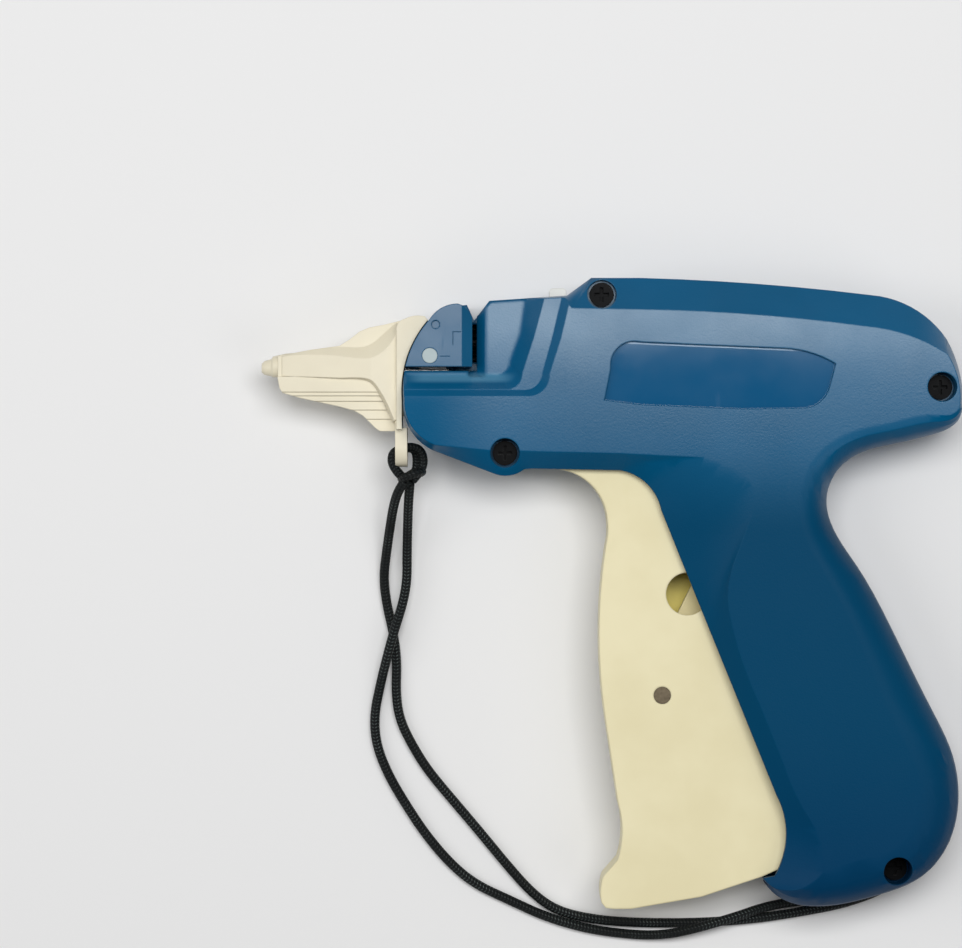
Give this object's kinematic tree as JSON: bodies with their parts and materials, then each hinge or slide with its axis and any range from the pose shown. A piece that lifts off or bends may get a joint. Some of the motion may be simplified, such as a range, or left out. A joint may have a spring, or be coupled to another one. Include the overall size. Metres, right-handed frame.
{
  "type": "garment tag attacher",
  "caption": "Hand-held tagging gun that pushes plastic fasteners through a hollow needle, with squeeze trigger, removable needle cap and a corded wrist loop",
  "frame": {"origin": "centre of the bounding box's base, where the gun lies on its right side", "axes": "+X from nose to tail, +Y from butt to barrel top, +Z from the right side to the left side"},
  "size_m": [0.168, 0.1607, 0.026],
  "materials": {
    "blue_body": "satin moulded blue plastic with a fine grain",
    "cream_plastic": "smooth satin cream plastic",
    "white_plastic": "smooth white plastic",
    "amber_plastic": "smooth tan acetal",
    "steel": "bright drawn steel",
    "black_screw": "black oxide steel",
    "pale_metal": "pale satin metal",
    "cord": "black braided polyester"
  },
  "bodies": {
    "housing": {"left_shell": "blue_body", "right_shell": "blue_body", "needle_block": "blue_body", "needle": "steel", "needle_hub": "steel", "needle_lock_pin": "pale_metal", "cutter_blade": "steel", "feed_wheel_axle": "steel", "feed_pawl": "steel", "button_spring": "steel", "trigger_pivot_pin": "steel", "lever_pivot_pin": "steel", "return_spring": "steel", "case_screws": "black_screw", "cord_inner": "cord", "cord_outer": "cord", "cord_end": "cord"},
    "needle_cap": {"needle_cap": "cream_plastic", "cord_hitch": "cord"},
    "trigger": {"trigger": "cream_plastic", "trigger_link_pin": "steel"},
    "drive_lever": {"drive_lever": "amber_plastic"},
    "carriage": {"carriage": "amber_plastic", "carriage_pin": "steel", "push_rod": "steel"},
    "feed_wheel": {"feed_wheel": "white_plastic"},
    "release_button": {"release_button": "white_plastic"}
  },
  "joints": [
    {"name": "trigger_squeeze", "type": "hinge", "parent": "housing", "child": "trigger", "pos_m": [0, 0.035, 0.013], "axis": [0, 0, 1], "range_deg": [0, 22], "stiffness_Nm_per_rad": 0.5, "springref_deg": -5.73, "deforming": ["return_spring"]},
    {"name": "lever_swing", "type": "hinge", "parent": "housing", "child": "drive_lever", "pos_m": [0.027, 0.003, 0.013], "axis": [0, 0, 1], "range_deg": [0, 48.2]},
    {"name": "carriage_stroke", "type": "slide", "parent": "housing", "child": "carriage", "axis": [-1, 0, 0], "range_m": [0, 0.0393]},
    {"name": "feed_turn", "type": "hinge", "parent": "housing", "child": "feed_wheel", "pos_m": [-0.0333, 0.06, 0.008], "axis": [1, 0, 0], "range_deg": [0, 36.5], "deforming": ["feed_pawl"]},
    {"name": "button_press", "type": "slide", "parent": "housing", "child": "release_button", "axis": [0, -1, 0], "range_m": [0, 0.0015], "stiffness_N_per_m": 400, "springref_m": -0.0005, "deforming": ["button_spring"]},
    {"name": "cap_pull", "type": "slide", "parent": "housing", "child": "needle_cap", "axis": [-1, 0, 0], "range_m": [0, 0.04], "deforming": ["cord_inner", "cord_outer"]}
  ],
  "couplings": [
    {"joint": "lever_swing", "follows": "trigger_squeeze", "ratio": 2.1741},
    {"joint": "carriage_stroke", "follows": "trigger_squeeze", "m_per_rad": 0.10163},
    {"joint": "feed_turn", "follows": "trigger_squeeze", "ratio": 1.6364}
  ]
}
